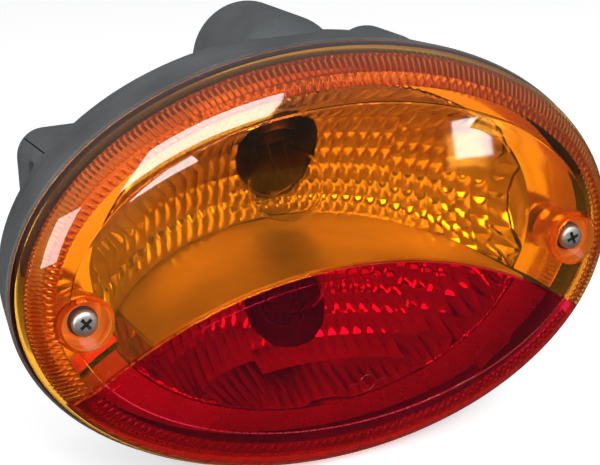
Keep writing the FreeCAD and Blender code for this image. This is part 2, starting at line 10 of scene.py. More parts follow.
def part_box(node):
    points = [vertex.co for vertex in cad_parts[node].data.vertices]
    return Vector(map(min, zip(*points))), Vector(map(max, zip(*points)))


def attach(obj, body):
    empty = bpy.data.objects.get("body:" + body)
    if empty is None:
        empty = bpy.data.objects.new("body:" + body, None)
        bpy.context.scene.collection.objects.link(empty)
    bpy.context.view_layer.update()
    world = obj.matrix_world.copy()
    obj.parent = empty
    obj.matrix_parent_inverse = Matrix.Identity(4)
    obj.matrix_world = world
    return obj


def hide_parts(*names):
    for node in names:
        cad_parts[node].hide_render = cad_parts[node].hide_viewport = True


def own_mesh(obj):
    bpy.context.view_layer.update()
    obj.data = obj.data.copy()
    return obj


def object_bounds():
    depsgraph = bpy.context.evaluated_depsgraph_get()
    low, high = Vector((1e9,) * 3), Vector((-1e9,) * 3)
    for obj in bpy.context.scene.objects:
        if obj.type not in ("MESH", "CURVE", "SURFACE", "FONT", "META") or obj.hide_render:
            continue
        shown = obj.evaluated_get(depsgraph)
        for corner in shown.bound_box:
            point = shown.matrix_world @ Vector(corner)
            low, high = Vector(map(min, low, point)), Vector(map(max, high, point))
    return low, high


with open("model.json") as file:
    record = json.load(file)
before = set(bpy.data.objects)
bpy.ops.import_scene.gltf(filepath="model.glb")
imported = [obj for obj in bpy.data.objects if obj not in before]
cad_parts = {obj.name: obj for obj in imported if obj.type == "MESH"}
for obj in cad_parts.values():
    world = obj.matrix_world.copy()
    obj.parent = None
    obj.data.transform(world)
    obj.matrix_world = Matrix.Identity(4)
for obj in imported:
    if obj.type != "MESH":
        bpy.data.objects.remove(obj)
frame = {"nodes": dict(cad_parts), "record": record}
cad_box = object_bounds()

MM = 0.001
LENS_LOW, LENS_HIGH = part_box("lens_amber")
SEAM = -LENS_HIGH[1]                       # how far ahead of the mounting face the lens edge is
HALF_WIDE = LENS_HIGH[0]
HALF_HIGH = LENS_HIGH[2]
FACE = -LENS_LOW[1]                        # how far ahead the middle of the lens is
CREASE_WIDE, CREASE_HIGH, CREASE_RISE = 86.6 * MM, 50.9 * MM, 15.3 * MM
CREASE_STEP = (0.35 * MM, 0.3 * MM)        # inwards and back, for the line between shoulder and face
SHOULDER = math.radians(75)
DOME_SINK = 20 * MM
WALL, WALL_AHEAD = 2.6 * MM, 0.8           # the second is the share of an inset taken off the face
ARCH_RADIUS, ARCH_TOP = 135 * MM, 1.7 * MM
FLANGE = 3.6 * MM
FINE_RIBS, FINE_STEPS, SCALLOP_STEPS = 288, 4, 6   # slim prisms round the shoulder, then rounded ends
RING_STEPS = FINE_RIBS * FINE_STEPS
RIB_START, RIB_MIDDLE, RIB_END = 20, 43, 56        # degrees round the shoulder's curve
RIB_DEEP, SCALLOP_DEEP = 0.9 * MM, 1.17 * MM
CLEAR, RIBBED, EDGE = 0, 1, 2              # places in a lens piece's list of finishes; the ribbed and edge ones are darker copies that paint shade
FRAME_BAND, FRAME_RAISED = 3.4 * MM, 0.9 * MM
MARK_SPOT, MARK_RADIUS = (5.5 * MM, -37 * MM), 2.6 * MM
SCREW_X, SCREW_Z = 81.5 * MM, -3.5 * MM
CUP_BORE, CUP_FLOOR = 7.5 * MM, 70 * MM
CUP_RADIUS, COLUMN_RADIUS, SCREW_HOLE = 8.6 * MM, 7.6 * MM, 2.4 * MM
SCREW_RADIUS, SCREW_TIP, WASHER_THICK = 2.1 * MM, 42 * MM, 1 * MM
HEAD_RADIUS, HEAD_RISE, HEAD_SIDE = 4.0 * MM, 2.8 * MM, 1.5 * MM
BOWL_WIDE, BOWL_HIGH, BOWL_DEEP, BOWL_FRONT = 74 * MM, 50 * MM, 40 * MM, 58 * MM
FACET_INSET, FACET_THICK, FACET_BULGE = 0.8 * MM, 0.35 * MM, 0.6 * MM
FLUTE_PITCH, FLUTE_LONG, PILLOW_LONG, FLUTES_END = 3.9 * MM, 9 * MM, 5.8 * MM, -16 * MM
FACETS_HALF, SHELF_GAP = 71 * MM, 1.6 * MM
HOLE_RADIUS, COLLAR_BACK = 14.2 * MM, 8.9 * MM
TILT = math.radians(58)                    # of the bulbs, from straight ahead
# name, height of the bowl's middle, height of the bulb hole, side, far edge of the facets
CHAMBERS = (("indicator", 4 * MM, 29 * MM, 1, 53 * MM), ("stop_tail", 0.0, -27 * MM, -1, -49 * MM))
AHEAD = Matrix.Rotation(math.radians(90), 4, "X")   # turns up to the way the lens faces


# ---------------------------------------------------------------- mesh helpers

def linked(name, data):
    """A new object in the scene."""
    thing = bpy.data.objects.new(name, data)
    bpy.context.scene.collection.objects.link(thing)
    return thing


def own_piece(name, mesh, body, slot, *materials, sharp=None):
    """A smooth mesh piece at the origin that rides on a body."""
    piece = linked(name, mesh)
    mesh.shade_smooth()
    if sharp:
        mesh.set_sharp_from_angle(angle=math.radians(sharp))
    finishes(mesh, *materials)
    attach(piece, body)
    return piece


def finishes(mesh, *materials):
    """Gives a mesh its materials without losing which face has which."""
    chosen = [face.material_index for face in mesh.polygons]
    mesh.materials.clear()
    for material in materials:
        mesh.materials.append(material)
    mesh.polygons.foreach_set("material_index", [min(i, len(materials) - 1) for i in chosen])


def loose_mesh(name, verts, faces):
    """A working object that isn't part of the lamp until its result is taken."""
    mesh = bpy.data.meshes.new(name)
    mesh.from_pydata([tuple(v) for v in verts], [], faces)
    mesh.validate()
    return linked(name, mesh)


def result_of(thing):
    """The evaluated mesh of a working object, which is then thrown away."""
    seen = thing.evaluated_get(bpy.context.evaluated_depsgraph_get())
    mesh = bpy.data.meshes.new_from_object(seen)
    bpy.data.objects.remove(thing)
    return mesh


def trimmed(thing, *steps):
    """Booleans: steps are (operation, other object)."""
    for operation, other in steps:
        step = thing.modifiers.new(operation, "BOOLEAN")
        step.operation = operation
        step.object = other
        step.solver = "EXACT"
    return result_of(thing)


def drop(*things):
    for thing in things:
        bpy.data.objects.remove(thing)


def closed_rings(rings, capped=True):
    """Vertices and faces of a skin through rings of equal length, with or without its two ends."""
    count = len(rings[0])
    verts = [v for ring in rings for v in ring]
    faces = []
    for i in range(len(rings) - 1):
        for j in range(count):
            k = (j + 1) % count
            faces.append((i * count + j, i * count + k, (i + 1) * count + k, (i + 1) * count + j))
    if capped:
        faces.append(tuple(reversed(range(count))))
        faces.append(tuple(range((len(rings) - 1) * count, len(rings) * count)))
    return verts, faces


def joined_ends(rings):
    """Faces from the last of some rings back to the first."""
    count = len(rings[0])
    last = (len(rings) - 1) * count
    return [(last + j, last + (j + 1) % count, (j + 1) % count, j) for j in range(count)]


def lathe(profile, place, steps=64, tube=False):
    """A solid of revolution from (radius, along) points, turned about a placement's z axis."""
    rings = []
    for radius, along in profile:
        rings.append([place @ Vector((radius * math.cos(2 * math.pi * j / steps),
                                      radius * math.sin(2 * math.pi * j / steps), along))
                      for j in range(steps)])
    verts, faces = closed_rings(rings, not tube)
    if tube:
        faces += joined_ends(rings)
    return verts, faces


def outward(mesh):
    """Merges doubles of a closed mesh and turns its faces outwards."""
    work = bmesh.new()
    work.from_mesh(mesh)
    bmesh.ops.remove_doubles(work, verts=work.verts, dist=1e-7)
    bmesh.ops.recalc_face_normals(work, faces=work.faces)
    work.to_mesh(mesh)
    work.free()


# ---------------------------------------------------------------- materials

def plain_material(name, colour, roughness=0.5, metallic=0.0, **more):
    """A Principled material and its node tree, shader and output."""
    material = bpy.data.materials.new(name)
    material.use_nodes = True
    shader = material.node_tree.nodes["Principled BSDF"]
    shader.inputs["Base Color"].default_value = (*colour, 1)
    shader.inputs["Roughness"].default_value = roughness
    shader.inputs["Metallic"].default_value = metallic
    for key, value in more.items():
        shader.inputs[key.replace("_", " ")].default_value = value
    return material, material.node_tree, shader


def grain_group():
    """Spark-eroded mould grain: fine noise height and a slow patchy mask."""
    tree = bpy.data.node_groups.new("mould_grain", "ShaderNodeTree")
    tree.interface.new_socket("Fineness", in_out="INPUT", socket_type="NodeSocketFloat")
    tree.interface.new_socket("Height", in_out="OUTPUT", socket_type="NodeSocketFloat")
    tree.interface.new_socket("Patches", in_out="OUTPUT", socket_type="NodeSocketFloat")
    nodes, links = tree.nodes, tree.links
    start, end = nodes.new("NodeGroupInput"), nodes.new("NodeGroupOutput")
    spot = nodes.new("ShaderNodeTexCoord")
    fine, slow = nodes.new("ShaderNodeTexNoise"), nodes.new("ShaderNodeTexNoise")
    fine.inputs["Detail"].default_value = 3
    slow.inputs["Scale"].default_value = 38
    slow.inputs["Detail"].default_value = 4
    links.new(spot.outputs["Object"], fine.inputs["Vector"])
    links.new(spot.outputs["Object"], slow.inputs["Vector"])
    links.new(start.outputs["Fineness"], fine.inputs["Scale"])
    links.new(fine.outputs["Fac"], end.inputs["Height"])
    links.new(slow.outputs["Fac"], end.inputs["Patches"])
    return tree


GRAIN = grain_group()


def add_grain(tree, shader, colours, fineness, bump, roughness):
    """Lets the grain group drive colour, roughness and bump of a material."""
    nodes, links = tree.nodes, tree.links
    grain = nodes.new("ShaderNodeGroup")
    grain.node_tree = GRAIN
    grain.inputs["Fineness"].default_value = fineness
    ramp = nodes.new("ShaderNodeValToRGB")
    for stop, colour in zip(ramp.color_ramp.elements, colours):
        stop.color = (*colour, 1)
    ramp.color_ramp.elements[0].position = 0.3
    ramp.color_ramp.elements[1].position = 0.7
    links.new(grain.outputs["Patches"], ramp.inputs["Fac"])
    links.new(ramp.outputs["Color"], shader.inputs["Base Color"])
    spread = nodes.new("ShaderNodeMapRange")
    spread.inputs["To Min"].default_value, spread.inputs["To Max"].default_value = roughness
    links.new(grain.outputs["Height"], spread.inputs["Value"])
    links.new(spread.outputs["Result"], shader.inputs["Roughness"])
    if bump:
        relief = nodes.new("ShaderNodeBump")
        relief.inputs["Strength"].default_value = bump
        relief.inputs["Distance"].default_value = 0.0003
        links.new(grain.outputs["Height"], relief.inputs["Height"])
        links.new(relief.outputs["Normal"], shader.inputs["Normal"])


def grained(name, colours, fineness, bump, roughness, metallic=0.0):
    """A solid finish with mould grain between two colours and two roughnesses."""
    material, tree, shader = plain_material(name, colours[0], roughness[0], metallic)
    add_grain(tree, shader, colours, fineness, bump, roughness)
    return material


MOULD_WAVES = 60


def clear_plastic(name, colours, lamp_colour, roughness=(0.02, 0.05), clear=1.0, waves=0.03, bend=1.49):
    """Coloured acrylic, faintly uneven from the mould, that lets the lamps reach what is behind it."""
    material, tree, shader = plain_material(name, colours[0], roughness[0], IOR=bend)
    shader.inputs["Transmission Weight"].default_value = clear
    add_grain(tree, shader, colours, MOULD_WAVES, waves, roughness)
    nodes, links = tree.nodes, tree.links
    lets_through = nodes.new("ShaderNodeBsdfTransparent")
    lets_through.inputs["Color"].default_value = (*lamp_colour, 1)
    ray, mix = nodes.new("ShaderNodeLightPath"), nodes.new("ShaderNodeMixShader")
    links.new(ray.outputs["Is Shadow Ray"], mix.inputs["Fac"])
    links.new(shader.outputs["BSDF"], mix.inputs[1])
    links.new(lets_through.outputs["BSDF"], mix.inputs[2])
    links.new(mix.outputs["Shader"], nodes["Material Output"].inputs["Surface"])
    return material


CASING = grained("casing_plastic", ((0.045, 0.050, 0.053), (0.085, 0.090, 0.092)), 1300, 0.9, (0.5, 0.7))
BLACK_RUBBER = grained("black_rubber", ((0.010, 0.010, 0.011), (0.018, 0.018, 0.019)), 1200, 0.3, (0.6, 0.8))
AMBER = clear_plastic("amber_acrylic", ((0.86, 0.41, 0.035), (0.88, 0.44, 0.045)), (0.50, 0.25, 0.05))
# Darker, less clear copies of the same amber acrylic: painted shade for the prisms, where light is lost
# inside them, and for the thick edges and screw cups.
AMBER_RIBS_PAINTED_SHADE = clear_plastic("amber_prisms_painted_shade", ((0.36, 0.05, 0.006), (0.50, 0.09, 0.010)), (0.5, 0.20, 0.04),
                           (0.08, 0.16), 0.65)
AMBER_EDGE_PAINTED_SHADE = clear_plastic("amber_edge_painted_shade", ((0.70, 0.17, 0.02), (0.80, 0.26, 0.035)), (0.8, 0.3, 0.06),
                           (0.05, 0.12), 0.6)
RED = clear_plastic("red_acrylic", ((0.68, 0.008, 0.050), (0.74, 0.011, 0.062)), (0.80, 0.05, 0.13))
# Darker, less clear copies of the same red acrylic: painted shade for the prisms, the thick edges and the
# sight mark.
RED_RIBS_PAINTED_SHADE = clear_plastic("red_prisms_painted_shade", ((0.30, 0.003, 0.014), (0.38, 0.005, 0.020)), (0.6, 0.03, 0.06),
                         (0.04, 0.10), 0.75)
RED_EDGE_PAINTED_SHADE = clear_plastic("red_edge_painted_shade", ((0.36, 0.004, 0.016), (0.46, 0.007, 0.024)), (0.6, 0.03, 0.06),
                         (0.05, 0.12), 0.6)
PLATED = grained("plated_reflector", ((0.84, 0.83, 0.82), (0.90, 0.90, 0.89)), 300, 0.05, (0.10, 0.18), 1.0)
# A darker copy of the reflector plating for the red chamber: painted shade.
PLATING_PAINTED_SHADE = grained("darker_plating_painted_shade", ((0.36, 0.35, 0.35), (0.48, 0.47, 0.47)), 300, 0.08, (0.22, 0.34), 1.0)
SATIN = grained("satin_shelf", ((0.40, 0.37, 0.32), (0.52, 0.48, 0.42)), 700, 0.2, (0.35, 0.5), 0.6)
STEEL = grained("zinc_steel", ((0.42, 0.41, 0.38), (0.55, 0.54, 0.51)), 900, 0.25, (0.38, 0.55), 1.0)
BRASS = grained("dull_brass", ((0.16, 0.11, 0.055), (0.24, 0.17, 0.085)), 900, 0.1, (0.35, 0.5), 1.0)
# Black for the filament and sleeve, and also painted shade in the bulb holes and the screw recesses.
BLACK_AND_PAINTED_SHADE = grained("black_sleeve_and_painted_shade", ((0.012, 0.011, 0.010), (0.025, 0.023, 0.021)), 900, 0.2, (0.5, 0.7))
PHENOLIC = grained("brown_laminate", ((0.10, 0.05, 0.025), (0.16, 0.08, 0.04)), 700, 0.2, (0.45, 0.6))
BLACK_GLASS = grained("black_glass", ((0.010, 0.010, 0.012), (0.02, 0.02, 0.024)), 500, 0.05, (0.08, 0.15))
BULB_GLASS = clear_plastic("bulb_glass", ((0.96, 0.97, 0.97), (0.98, 0.98, 0.98)), (0.97, 0.98, 0.98),
                           (0.0, 0.02), 1.0, 0.0, 1.06)   # so thin that it hardly bends light
AMBER_WIRE = grained("amber_wire", ((0.60, 0.22, 0.02), (0.70, 0.28, 0.03)), 700, 0.1, (0.4, 0.5))
RED_WIRE = grained("red_wire", ((0.40, 0.012, 0.012), (0.5, 0.02, 0.02)), 700, 0.1, (0.4, 0.5))

SLOT_FINISH = {
    "casing": CASING, "gasket": BLACK_RUBBER, "amber": AMBER, "red": RED, "reflector": PLATED,
    "divider": SATIN, "screw": STEEL, "washer": BLACK_RUBBER, "bulb_glass": BULB_GLASS,
    "bulb_brass": BRASS, "insulator": BLACK_GLASS, "solder": STEEL, "filament": BLACK_AND_PAINTED_SHADE,
    "sleeve": BLACK_AND_PAINTED_SHADE, "phenolic": PHENOLIC, "spring": STEEL, "terminal": BRASS, "stud": STEEL,
    "grommet": BLACK_RUBBER, "lead_amber_wire": AMBER_WIRE, "lead_red_wire": RED_WIRE,
}


def dress_cad_nodes():
    """Gives every CAD node the finish of its slot; the red chamber's reflector takes a darker copy of the
    plating, painted shade.
    """
    for part in frame["record"]["subparts"]:
        thing = frame["nodes"][part["node"]]
        thing.data.materials.clear()
        shade_painted = part["node"] == "reflector_stop_tail"
        thing.data.materials.append(PLATING_PAINTED_SHADE if shade_painted else SLOT_FINISH[part["material_slot"]])


# ---------------------------------------------------------------- lens

def shoulder_at(turn, inset=0.0):
    """Half width, half height and distance ahead of the shoulder at an angle round its curve."""
    inwards = (1 - math.cos(turn)) / (1 - math.cos(SHOULDER))
    rise = math.sin(turn) / math.sin(SHOULDER)
    return (HALF_WIDE - inset - (HALF_WIDE - CREASE_WIDE) * inwards,
            HALF_HIGH - inset - (HALF_HIGH - CREASE_HIGH) * inwards,
            SEAM + (CREASE_RISE - inset * WALL_AHEAD) * rise)


def dome_at(share, inset=0.0):
    """The same on the front dome, where share falls from 1 at the crease to 0 at the middle."""
    rise = FACE - SEAM - CREASE_RISE
    deep = DOME_SINK + rise
    swell = math.sqrt(1 - (DOME_SINK / deep) ** 2)
    top = SEAM + CREASE_RISE - inset * WALL_AHEAD
    return ((CREASE_WIDE - inset) * share, (CREASE_HIGH - inset) * share,
            top - DOME_SINK + deep * math.sqrt(1 - (swell * share) ** 2))


def oval_ring(size, steps, offset=None):
    """Points of one oval; offset(j) moves a point along the way out."""
    wide, high, ahead = size
    ring = []
    for j in range(steps):
        turn = 2 * math.pi * j / steps
        x, z = math.cos(turn), math.sin(turn)
        out = Vector((x / wide, 0, z / high)).normalized() * (offset(j) if offset else 0.0)
        ring.append(Vector((wide * x, -ahead, high * z)) + out)
    return ring


def prisms(degrees):
    """How far each point of an inner ring is pulled in by the ribs at an angle round the curve."""
    if RIB_START < degrees < RIB_MIDDLE:
        swell = min(1, (degrees - RIB_START) / 2, (RIB_MIDDLE - degrees) / 2)
        half = FINE_STEPS // 2
        return lambda j: -RIB_DEEP * swell * abs(j % FINE_STEPS - half) / half
    if RIB_MIDDLE < degrees < RIB_END:
        swell = min(1, (degrees - RIB_MIDDLE) / 2, math.sqrt((RIB_END - degrees) / 8))
        return lambda j: -SCALLOP_DEEP * swell * abs(math.sin(math.pi * (j % SCALLOP_STEPS) / SCALLOP_STEPS))
    return None


def lens_skin(wall=WALL, ribbed=True, steps=RING_STEPS):
    """The whole lens as one closed skin: smooth outside, ribbed round the inside of the shoulder."""
    shares = (0.985, 0.9, 0.75, 0.55, 0.35, 0.15, 0.01)
    turns = 14
    outer = [oval_ring(shoulder_at(SHOULDER * i / turns), steps) for i in range(turns + 1)]
    wide, high, ahead = shoulder_at(SHOULDER)
    inwards, back = CREASE_STEP
    outer.append(oval_ring((wide - inwards, high - inwards, ahead - back), steps))
    outer += [oval_ring(dome_at(share), steps) for share in shares]
    inner = [oval_ring(dome_at(share, wall), steps) for share in reversed(shares)]
    angles = (75, 68, 60, 56, 55, 53, 50, 47, 45, 43, 42, 40, 36, 32, 28, 24, 22, 20, 14, 8, 0)
    kinds = [CLEAR] * (len(outer) + len(inner) - 1)
    for degrees in angles:
        rib = prisms(degrees) if ribbed else None
        inner.append(oval_ring(shoulder_at(math.radians(degrees), wall), steps, rib))
        kinds.append(RIBBED if RIB_START <= degrees < RIB_END else CLEAR)
    rings = outer + inner
    verts, faces = closed_rings(rings, False)
    # the smallest rings are closed, outside and inside, instead of being joined to each other
    middle = len(outer) - 1
    faces = [face for face in faces if face[0] // steps != middle]
    kinds = [kind for i, kind in enumerate(kinds) if i != middle for _ in range(steps)]
    faces += joined_ends(rings)
    faces.append(tuple(range(middle * steps, (middle + 1) * steps)))
    faces.append(tuple(reversed(range((middle + 1) * steps, (middle + 2) * steps))))
    kinds += [EDGE] * steps + [CLEAR, CLEAR]
    skin = loose_mesh("lens_skin", verts, faces)
    skin.data.polygons.foreach_set("material_index", kinds)
    return skin


def arch_at(x, radius=ARCH_RADIUS):
    """Height of the arch between amber and red."""
    return ARCH_TOP - ARCH_RADIUS + math.sqrt(max(0.0, radius ** 2 - x ** 2))


def window_block(inset):
    """A block under the arch and inside the plain flange, through the lens."""
    wide, high = HALF_WIDE - FLANGE - inset, HALF_HIGH - FLANGE - inset
    radius = ARCH_RADIUS - inset
    steps, arch_steps = 720, 120
    outline = []
    for j in range(steps):
        turn = 2 * math.pi * j / steps
        x, z = wide * math.cos(turn), high * math.sin(turn)
        if z < arch_at(x, radius):
            outline.append((x, z))
    right, left = max(outline)[0], min(outline)[0]
    loop = sorted(outline, key=lambda spot: spot[0])
    for i in range(1, arch_steps):
        x = right + (left - right) * i / arch_steps
        loop.append((x, arch_at(x, radius)))
    rings = [[Vector((x, -ahead, z)) for x, z in loop] for ahead in (SEAM - 20 * MM, SEAM + 40 * MM)]
    return edge_tool("window_block", *closed_rings(rings))


def edge_tool(name, verts, faces):
    """A closed tool whose cut faces get the edge finish."""
    tool = loose_mesh(name, verts, faces)
    tool.data.polygons.foreach_set("material_index", [EDGE] * len(tool.data.polygons))
    outward(tool.data)
    return tool


def screw_place(side):
    """A placement on a lens screw's axis, its own z axis ahead."""
    return Matrix.Translation((side * SCREW_X, 0, SCREW_Z)) @ AHEAD


def cup_tools():
    """What the screw cups add to the lens and what they take away."""
    adds, cuts = [], []
    steps = 72
    for side in (-1, 1):
        place = screw_place(side)
        add = [(COLUMN_RADIUS, SEAM + 0.6 * MM), (COLUMN_RADIUS, CUP_FLOOR - 3.2 * MM),
               (CUP_RADIUS, CUP_FLOOR - 1.6 * MM), (CUP_RADIUS, SEAM + 13.2 * MM)]
        cut = [(SCREW_HOLE, SEAM), (SCREW_HOLE, CUP_FLOOR), (CUP_BORE, CUP_FLOOR),
               (CUP_BORE, SEAM + 30 * MM)]
        adds.append(edge_tool("cup_add", *lathe(add, place, steps)))
        cuts.append(edge_tool("cup_cut", *lathe(cut, place, steps)))
    return adds, cuts


def red_frame():
    """A raised band behind the edge of the red window."""
    band = lens_skin(WALL + FRAME_RAISED, False, 360)
    outward(band.data)
    outline, middle = window_block(0.05 * MM), window_block(FRAME_BAND)
    mesh = trimmed(band, ("INTERSECT", outline), ("DIFFERENCE", middle))
    drop(outline, middle)
    return linked("red_frame", mesh)


def make_lens():
    """The amber moulding with its screw cups, and the red window set into it."""
    # each list holds the clear acrylic, then its darker copies for the ribs and the edges, which paint shade
    amber_with_painted_shade, red_with_painted_shade = (AMBER, AMBER_RIBS_PAINTED_SHADE, AMBER_EDGE_PAINTED_SHADE), (RED, RED_RIBS_PAINTED_SHADE, RED_EDGE_PAINTED_SHADE)
    skin = lens_skin()
    outward(skin.data)
    block = window_block(0)
    adds, cuts = cup_tools()
    copy = linked("lens_copy", skin.data.copy())
    for thing in (skin, block, *adds, *cuts):
        finishes(thing.data, *amber_with_painted_shade)
    amber = trimmed(skin, *[("UNION", add) for add in adds], *[("DIFFERENCE", cut) for cut in cuts],
                    ("DIFFERENCE", block))
    band = red_frame()
    for thing in (band, copy, block):
        finishes(thing.data, *red_with_painted_shade)
    red = trimmed(copy, ("INTERSECT", block), ("UNION", band))
    drop(block, band, *adds, *cuts)
    amber_piece = own_piece("amber_moulding", amber, "lens", "amber", *amber_with_painted_shade, sharp=32)
    red_piece = own_piece("red_window", red, "lens", "red", *red_with_painted_shade, sharp=32)
    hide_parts("lens_amber")
    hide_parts("lens_red")


def make_sight_mark():
    """A small ring with four ticks, moulded on the front of the red window."""
    steps, wire = 48, 0.17 * MM
    mid_x, mid_z = MARK_SPOT

    def on_dome(x, z):
        return Vector((x, -dome_at(math.hypot(x / CREASE_WIDE, z / CREASE_HIGH))[2], z))

    turns = [2 * math.pi * i / steps for i in range(steps)]
    loops = [[on_dome(mid_x + MARK_RADIUS * math.cos(turn), mid_z + MARK_RADIUS * math.sin(turn))
              for turn in turns]]
    for turn in range(4):
        across, up = math.cos(turn * math.pi / 2), math.sin(turn * math.pi / 2)
        loops.append([on_dome(mid_x + across * MARK_RADIUS * reach, mid_z + up * MARK_RADIUS * reach)
                      for reach in (1.25, 1.9, 2.55)])
    curve = bpy.data.curves.new("sight_mark", "CURVE")
    curve.dimensions = "3D"
    curve.bevel_depth, curve.bevel_resolution, curve.use_fill_caps = wire, 2, True
    for i, loop in enumerate(loops):
        spline = curve.splines.new("POLY")
        spline.points.add(len(loop) - 1)
        spline.use_cyclic_u = i == 0
        for point, place in zip(spline.points, loop):
            point.co = (*place, 1)
    # the mark takes the darker red copy, painted shade along its ridge
    own_piece("sight_mark", result_of(linked("sight_mark_curve", curve)), "lens", "red", RED_RIBS_PAINTED_SHADE)


# ---------------------------------------------------------------- reflectors

def pillow_tree():
    """Bulges every face of a mesh into a pillow, by its own 0 to 1 map."""
    tree = bpy.data.node_groups.new("pillow_facets", "GeometryNodeTree")
    tree.interface.new_socket("Geometry", in_out="INPUT", socket_type="NodeSocketGeometry")
    tree.interface.new_socket("Bulge", in_out="INPUT", socket_type="NodeSocketFloat")
    tree.interface.new_socket("Fineness", in_out="INPUT", socket_type="NodeSocketInt")
    tree.interface.new_socket("Finish", in_out="INPUT", socket_type="NodeSocketMaterial")
    tree.interface.new_socket("Geometry", in_out="OUTPUT", socket_type="NodeSocketGeometry")
    nodes, links = tree.nodes, tree.links
    start, end = nodes.new("NodeGroupInput"), nodes.new("NodeGroupOutput")
    split, fine = nodes.new("GeometryNodeSplitEdges"), nodes.new("GeometryNodeSubdivideMesh")
    move = nodes.new("GeometryNodeSetPosition")
    spot = nodes.new("GeometryNodeInputNamedAttribute")
    spot.data_type = "FLOAT_VECTOR"
    spot.inputs["Name"].default_value = "across_face"
    parts, normal = nodes.new("ShaderNodeSeparateXYZ"), nodes.new("GeometryNodeInputNormal")
    links.new(spot.outputs["Attribute"], parts.inputs[0])

    def maths(operation, a, b):
        node = nodes.new("ShaderNodeMath")
        node.operation = operation
        for socket, value in zip(node.inputs, (a, b)):
            if isinstance(value, float):
                socket.default_value = value
            else:
                links.new(value, socket)
        return node.outputs[0]

    def hump(value):
        return maths("MULTIPLY", maths("MULTIPLY", value, maths("SUBTRACT", 1.0, value)), 4.0)

    lift = maths("MULTIPLY", hump(parts.outputs["X"]), hump(parts.outputs["Y"]))
    lift = maths("MULTIPLY", lift, start.outputs["Bulge"])
    along = nodes.new("ShaderNodeVectorMath")
    along.operation = "SCALE"
    links.new(normal.outputs["Normal"], along.inputs[0])
    links.new(lift, along.inputs["Scale"])
    realize, finish = nodes.new("GeometryNodeRealizeInstances"), nodes.new("GeometryNodeSetMaterial")
    links.new(start.outputs["Geometry"], split.inputs["Mesh"])
    links.new(split.outputs["Mesh"], fine.inputs["Mesh"])
    links.new(start.outputs["Fineness"], fine.inputs["Level"])
    links.new(fine.outputs["Mesh"], move.inputs["Geometry"])
    links.new(along.outputs["Vector"], move.inputs["Offset"])
    links.new(move.outputs["Geometry"], realize.inputs["Geometry"])
    links.new(realize.outputs["Geometry"], finish.inputs["Geometry"])
    links.new(start.outputs["Finish"], finish.inputs["Material"])
    links.new(finish.outputs["Geometry"], end.inputs["Geometry"])
    return tree


PILLOWS = pillow_tree()


def apply_nodes(thing, tree, **values):
    """Runs a geometry tree on a working object and returns the plain mesh."""
    step = thing.modifiers.new(tree.name, "NODES")
    step.node_group = tree
    for item in tree.interface.items_tree:
        if item.in_out == "INPUT" and item.name in values:
            step[item.identifier] = values[item.name]
    return result_of(thing)


def bowl_ahead(x, z, centre_z, inset):
    """Distance ahead of the bowl's inner face, a little in front of the plain CAD bowl."""
    share = (x / (BOWL_WIDE - inset)) ** 2 + ((z - centre_z) / (BOWL_HIGH - inset)) ** 2
    return BOWL_FRONT - (BOWL_DEEP - inset) * math.sqrt(max(0.0, 1 - share))


def facet_grid(columns, rows_for, centre_z):
    """Quads on the bowl: columns is a list of x edges, rows_for(x) gives the z edges of a column."""
    verts, faces, inset, smallest = [], [], FACET_INSET, 1 * MM
    for left, right in zip(columns, columns[1:]):
        edges = rows_for((left + right) / 2)
        for low, high in zip(edges, edges[1:]):
            corners = []
            for x, z in ((left, low), (right, low), (right, high), (left, high)):
                share = math.hypot(x / (BOWL_WIDE - inset), (z - centre_z) / (BOWL_HIGH - inset))
                if share > 1:
                    x, z = x / share, centre_z + (z - centre_z) / share
                corners.append(Vector((x, -bowl_ahead(x, z, centre_z, inset), z)))
            if min((corners[i] - corners[i + 2]).length for i in (0, 1)) < smallest:
                continue
            faces.append(tuple(range(len(verts), len(verts) + 4)))
            verts += corners
    grid = loose_mesh("facet_grid", verts, faces)
    across = grid.data.attributes.new("across_face", "FLOAT_VECTOR", "CORNER")
    for i in range(len(grid.data.polygons)):
        for k, spot in enumerate(((0, 0, 0), (1, 0, 0), (1, 1, 0), (0, 1, 0))):
            across.data[i * 4 + k].vector = spot
    return grid


def spaced(start, end, pitch):
    """Even steps from start to end, as near the pitch as they go."""
    count = max(1, round(abs(end - start) / pitch))
    return [start + (end - start) * i / count for i in range(count + 1)]


def hole_spot(centre_z, hole_z):
    """The middle of a bulb hole, on its bowl."""
    return Vector((0, -bowl_ahead(0, hole_z, centre_z, 0), hole_z))


def make_reflector_faces():
    """Facets of both bowls, flutes on the left and rows of pillows on the right, and black tubes in the bulb
    holes that paint their shade.
    """
    columns = spaced(-FACETS_HALF, FACETS_HALF, FLUTE_PITCH)
    for name, centre_z, hole_z, side, far_edge in CHAMBERS:
        def rows(x):
            near_edge = arch_at(x) + side * SHELF_GAP
            return spaced(*sorted((near_edge, far_edge)), FLUTE_LONG if x < FLUTES_END else PILLOW_LONG)

        grid = facet_grid(columns, rows, centre_z)
        mesh = apply_nodes(grid, PILLOWS, Bulge=FACET_BULGE, Fineness=3, Finish=PLATED)
        work = linked("facets_whole", mesh)
        turn_to_lens(work.data)
        thick = work.modifiers.new("thickness", "SOLIDIFY")
        thick.thickness = FACET_THICK
        thick.offset = -1
        place = Matrix.Translation(hole_spot(centre_z, hole_z)) @ AHEAD @ Matrix.Rotation(side * TILT, 4, "X")
        reach = 30 * MM
        tool = loose_mesh("hole_tool", *lathe([(HOLE_RADIUS, -reach), (HOLE_RADIUS, reach)], place, 96))
        outward(tool.data)
        cut = trimmed(work, ("DIFFERENCE", tool))
        drop(tool)
        own_piece(name + "_facets", cut, "housing", "reflector", PLATED, sharp=14)
        make_hole_shade(name, place, centre_z)


